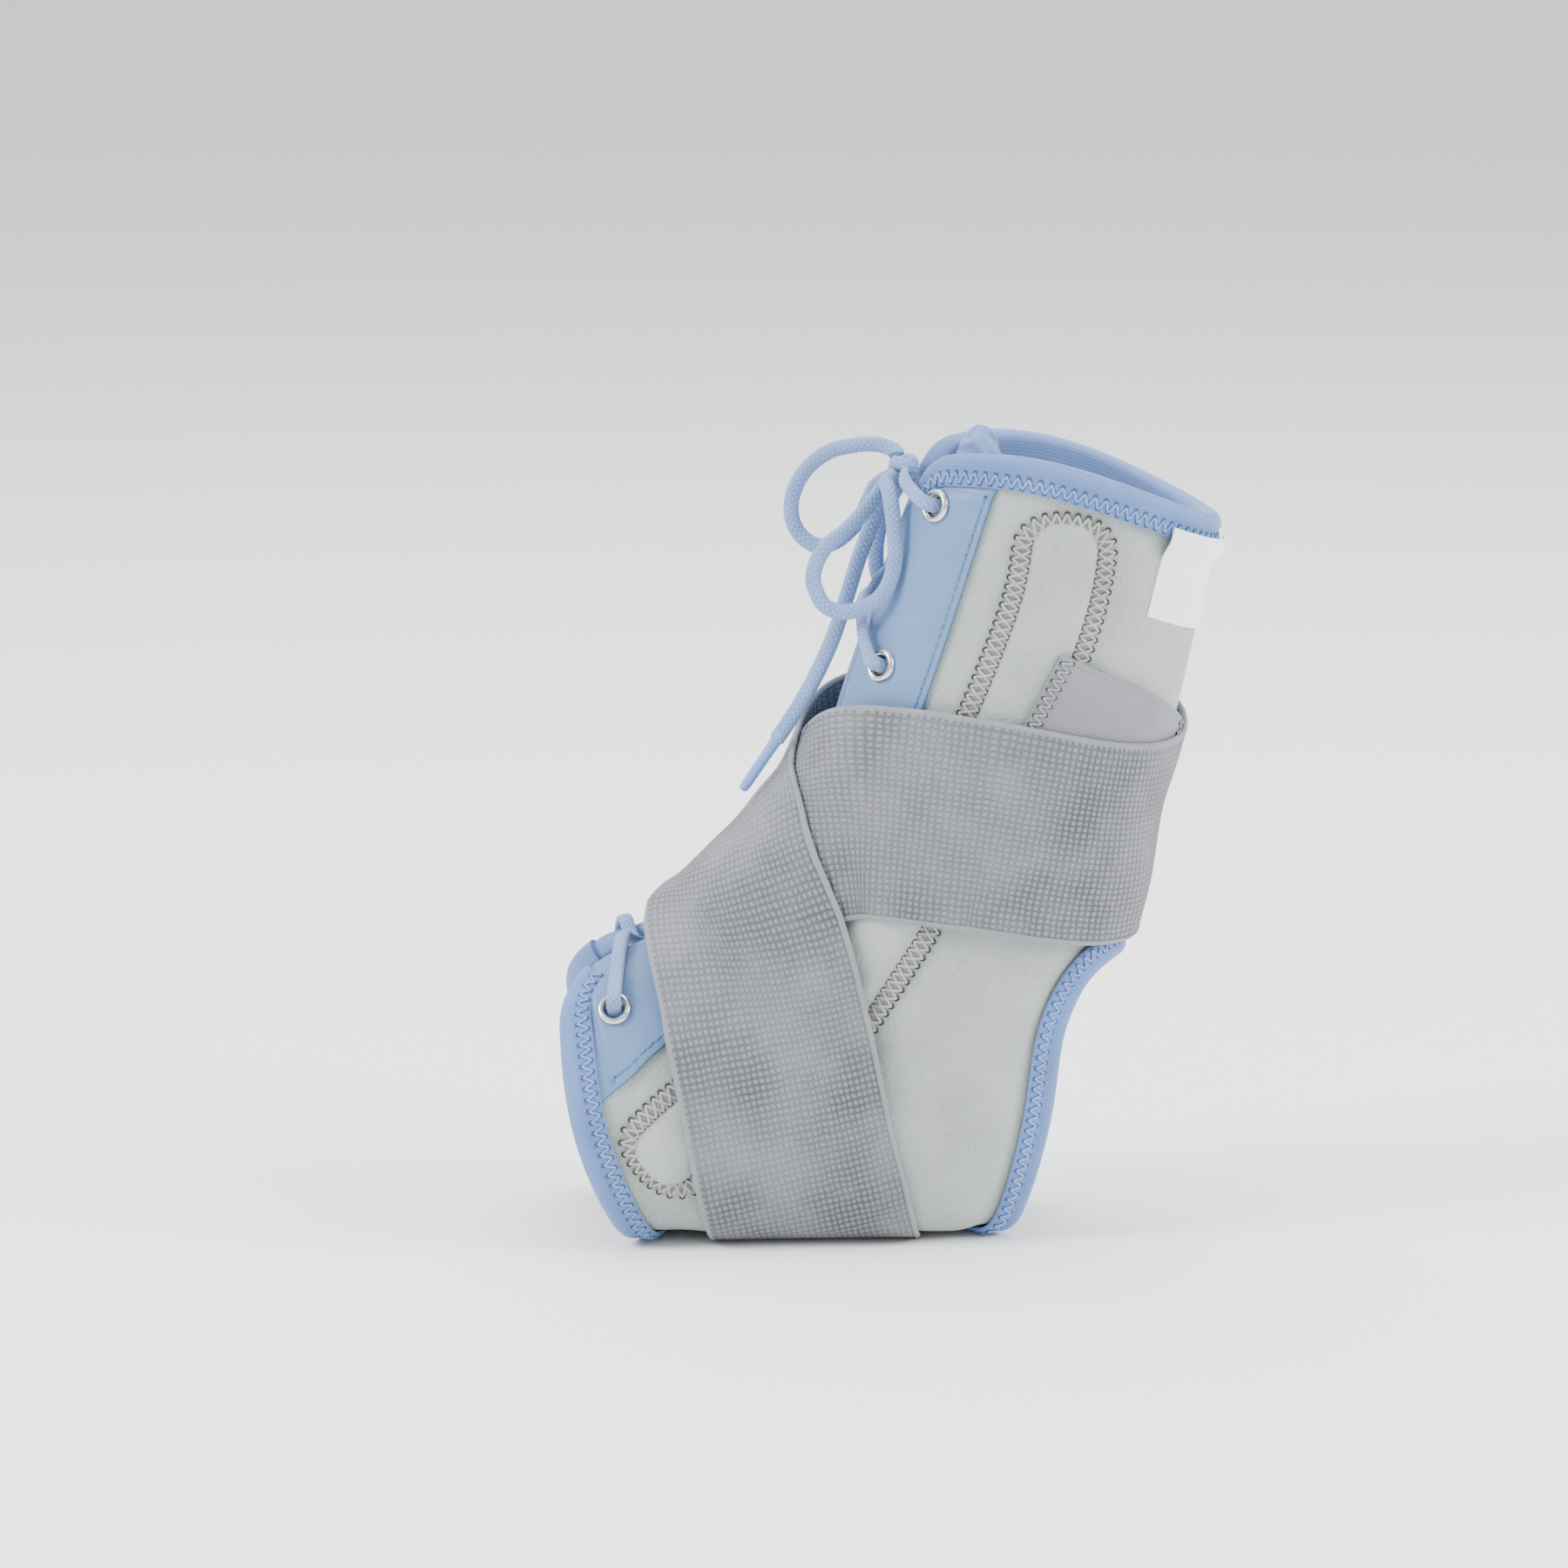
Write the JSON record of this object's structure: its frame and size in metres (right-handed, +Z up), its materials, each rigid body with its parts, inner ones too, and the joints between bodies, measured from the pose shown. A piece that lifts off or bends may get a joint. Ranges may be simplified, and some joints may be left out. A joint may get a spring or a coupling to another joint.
{
  "type": "ankle brace",
  "caption": "Lace-up ankle brace: padded sleeve open at toes and heel, front lacing tied in a bow, figure-of-eight straps and stitched side stays.",
  "frame": {"origin": "on the floor under the middle of the brace's box, measured without the bow's free ends", "axes": "+Z up, -X towards the toe opening, -Y towards the outer (lateral) side of this left brace"},
  "size_m": [0.1782, 0.0884, 0.2177],
  "materials": {
    "sleeve_fabric": "brushed knit over foam",
    "tongue_fabric": "soft knit",
    "binding_fabric": "woven binding",
    "panel_leather": "smooth synthetic leather",
    "strap_webbing": "elastic webbing",
    "label_fabric": "satin tape",
    "lace_braid": "braided cord",
    "aglet_plastic": "heat-sealed tip",
    "eyelet_nickel": "bright nickel"
  },
  "bodies": {
    "root": {"sleeve_body": "sleeve_fabric", "tongue": "tongue_fabric", "tongue_binding": "binding_fabric", "top_binding": "binding_fabric", "toe_binding": "binding_fabric", "heel_binding": "binding_fabric", "eyelet_panel_lateral": "panel_leather", "eyelet_panel_medial": "panel_leather", "stay_pocket_lateral": "sleeve_fabric", "stay_pocket_medial": "sleeve_fabric", "strap_lateral": "strap_webbing", "strap_medial": "strap_webbing", "side_label": "label_fabric", "lace_threaded": "lace_braid", "lace_knot": "lace_braid", "lace_loop_near": "lace_braid", "lace_loop_far": "lace_braid", "lace_tail_near": "lace_braid", "lace_tail_far": "lace_braid", "aglet_near": "aglet_plastic", "aglet_far": "aglet_plastic", "eyelet_lateral_1": "eyelet_nickel", "eyelet_lateral_2": "eyelet_nickel", "eyelet_lateral_3": "eyelet_nickel", "eyelet_lateral_4": "eyelet_nickel", "eyelet_lateral_5": "eyelet_nickel", "eyelet_lateral_6": "eyelet_nickel", "eyelet_medial_1": "eyelet_nickel", "eyelet_medial_2": "eyelet_nickel", "eyelet_medial_3": "eyelet_nickel", "eyelet_medial_4": "eyelet_nickel", "eyelet_medial_5": "eyelet_nickel", "eyelet_medial_6": "eyelet_nickel"}
  },
  "joints": []
}
